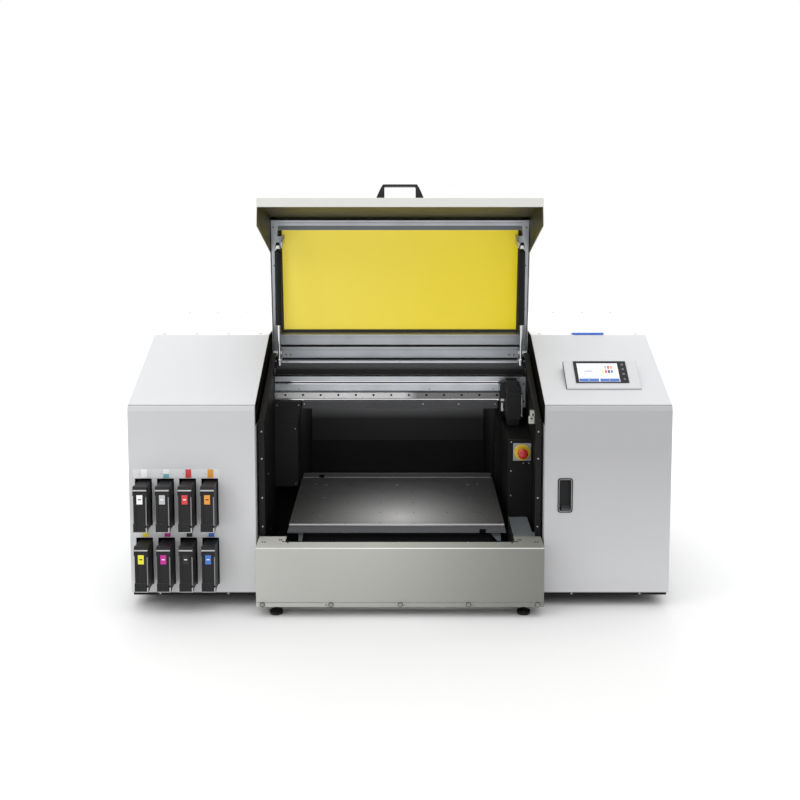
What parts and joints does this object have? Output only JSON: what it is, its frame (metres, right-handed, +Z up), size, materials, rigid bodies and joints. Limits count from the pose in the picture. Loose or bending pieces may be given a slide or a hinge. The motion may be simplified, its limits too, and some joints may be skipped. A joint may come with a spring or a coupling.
{
  "type": "flatbed uv printer",
  "caption": "Wide flatbed UV printer with side cabinets, ink cartridges, a touch panel, a moving print table and a hinged lid with a yellow window, shown open.",
  "frame": {"origin": "floor, in the middle of the footprint's bounding box", "axes": "+Z up, the user stands at -Y and faces +Y, +X is to the user's right"},
  "size_m": [1.636, 1.238, 1.28],
  "materials": {
    "cabinet_white": "fine textured powder coat",
    "tray_beige": "fine textured powder coat",
    "lid_white": "fine textured powder coat",
    "black_metal": "satin black powder coat",
    "dark_grey_metal": "satin dark grey paint",
    "blue_grey_metal": "satin blue-grey paint",
    "aluminium": "satin anodised",
    "steel": "ground",
    "table_metal": "dark anodised",
    "black_plastic": "fine grain",
    "grey_plastic": "satin",
    "yellow_acrylic": "polished, light-blocking",
    "red_plastic": "glossy",
    "blue_lamp": "glossy, lit",
    "screen_glass": "glossy cover of a touch screen",
    "rubber": "matt"
  },
  "bodies": {
    "base": {"base_pan": "black_metal", "bed_track": "steel", "control_box": "black_metal", "estop_plate": "grey_plastic", "foot_back_left": "rubber", "foot_back_right": "rubber", "foot_front_left": "rubber", "foot_front_right": "rubber", "foot_tray_left": "rubber", "foot_tray_right": "rubber", "front_tray": "tray_beige", "gantry_beam": "aluminium", "gantry_front_bar": "dark_grey_metal", "gantry_rail": "steel", "hinge_beam": "aluminium", "ink_bay": "black_plastic", "inner_side_left": "black_metal", "inner_side_right": "black_metal", "left_cabinet_shell": "cabinet_white", "left_front_panel": "cabinet_white", "left_plinth": "black_metal", "left_roof": "cabinet_white", "power_inlet": "black_plastic", "rear_cover": "cabinet_white", "rear_inner_panel": "dark_grey_metal", "right_cabinet_shell": "cabinet_white", "right_plinth": "black_metal", "right_roof": "cabinet_white", "service_cover": "dark_grey_metal", "service_hood": "dark_grey_metal", "side_cover_plate": "blue_grey_metal", "status_lamp": "blue_lamp", "touch_panel_housing": "cabinet_white", "touch_screen": "screen_glass", "tunnel_lining": "black_metal"},
    "lid": {"lid_shell": "lid_white", "lid_frame": "aluminium", "lid_window": "yellow_acrylic", "lid_handle": "black_plastic"},
    "spring_rod_left": {"spring_rod_left": "steel"},
    "spring_rod_right": {"spring_rod_right": "steel"},
    "spring_tube_left": {"spring_tube_left": "black_metal"},
    "spring_tube_right": {"spring_tube_right": "black_metal"},
    "table_carriage": {"table_carriage": "black_metal"},
    "table_top": {"table_frame": "dark_grey_metal", "table_plate": "table_metal"},
    "lift_sleeve": {"lift_sleeve": "steel"},
    "print_carriage": {"print_carriage": "black_plastic", "print_head": "steel"},
    "door": {"door_panel": "cabinet_white", "door_handle": "black_plastic"},
    "estop_button": {"estop_button": "red_plastic"},
    "cartridge_white": {"cartridge_white": "black_plastic"},
    "cartridge_gloss": {"cartridge_gloss": "black_plastic"},
    "cartridge_red": {"cartridge_red": "black_plastic"},
    "cartridge_orange": {"cartridge_orange": "black_plastic"},
    "cartridge_yellow": {"cartridge_yellow": "black_plastic"},
    "cartridge_magenta": {"cartridge_magenta": "black_plastic"},
    "cartridge_black": {"cartridge_black": "black_plastic"},
    "cartridge_cyan": {"cartridge_cyan": "black_plastic"}
  },
  "joints": [
    {"name": "lid_hinge", "type": "hinge", "parent": "base", "child": "lid", "pos_m": [0, -0.081, 0.695], "axis": [1, 0, 0], "range_deg": [0, 103]},
    {"name": "spring_pivot_left", "type": "hinge", "parent": "base", "child": "spring_rod_left", "pos_m": [-0.4, -0.151, 0.672], "axis": [1, 0, 0], "range_deg": [0, 115.3]},
    {"name": "spring_slide_left", "type": "slide", "parent": "spring_rod_left", "child": "spring_tube_left", "axis": [0, -0.0249, 0.9997], "range_m": [-0.0885, 0]},
    {"name": "spring_pivot_right", "type": "hinge", "parent": "base", "child": "spring_rod_right", "pos_m": [0.4, -0.151, 0.672], "axis": [1, 0, 0], "range_deg": [0, 115.3]},
    {"name": "spring_slide_right", "type": "slide", "parent": "spring_rod_right", "child": "spring_tube_right", "axis": [0, -0.0249, 0.9997], "range_m": [-0.0885, 0]},
    {"name": "table_travel", "type": "slide", "parent": "base", "child": "table_carriage", "axis": [0, 1, 0], "range_m": [0, 0.5]},
    {"name": "table_lift", "type": "slide", "parent": "table_carriage", "child": "table_top", "axis": [0, 0, 1], "range_m": [0, 0.204]},
    {"name": "sleeve_lift", "type": "slide", "parent": "table_carriage", "child": "lift_sleeve", "axis": [0, 0, 1], "range_m": [0, 0.1021]},
    {"name": "carriage_travel", "type": "slide", "parent": "base", "child": "print_carriage", "axis": [-1, 0, 0], "range_m": [0, 0.755]},
    {"name": "door_hinge", "type": "hinge", "parent": "base", "child": "door", "pos_m": [0.818, -0.5222, 0.32], "axis": [0, 0, 1], "range_deg": [0, 110]},
    {"name": "estop_push", "type": "slide", "parent": "base", "child": "estop_button", "axis": [0, 1, 0], "range_m": [0, 0.005], "stiffness_N_per_m": 900},
    {"name": "cartridge_slide_white", "type": "slide", "parent": "base", "child": "cartridge_white", "axis": [0, -1, 0], "range_m": [0, 0.215]},
    {"name": "cartridge_slide_gloss", "type": "slide", "parent": "base", "child": "cartridge_gloss", "axis": [0, -1, 0], "range_m": [0, 0.215]},
    {"name": "cartridge_slide_red", "type": "slide", "parent": "base", "child": "cartridge_red", "axis": [0, -1, 0], "range_m": [0, 0.215]},
    {"name": "cartridge_slide_orange", "type": "slide", "parent": "base", "child": "cartridge_orange", "axis": [0, -1, 0], "range_m": [0, 0.215]},
    {"name": "cartridge_slide_yellow", "type": "slide", "parent": "base", "child": "cartridge_yellow", "axis": [0, -1, 0], "range_m": [0, 0.215]},
    {"name": "cartridge_slide_magenta", "type": "slide", "parent": "base", "child": "cartridge_magenta", "axis": [0, -1, 0], "range_m": [0, 0.215]},
    {"name": "cartridge_slide_black", "type": "slide", "parent": "base", "child": "cartridge_black", "axis": [0, -1, 0], "range_m": [0, 0.215]},
    {"name": "cartridge_slide_cyan", "type": "slide", "parent": "base", "child": "cartridge_cyan", "axis": [0, -1, 0], "range_m": [0, 0.215]}
  ],
  "couplings": [
    {"joint": "spring_pivot_left", "follows": "lid_hinge", "ratio": 1.1174},
    {"joint": "spring_slide_left", "follows": "lid_hinge", "m_per_rad": -0.04885},
    {"joint": "spring_pivot_right", "follows": "lid_hinge", "ratio": 1.1174},
    {"joint": "spring_slide_right", "follows": "lid_hinge", "m_per_rad": -0.04885},
    {"joint": "sleeve_lift", "follows": "table_lift", "ratio": 0.5}
  ]
}
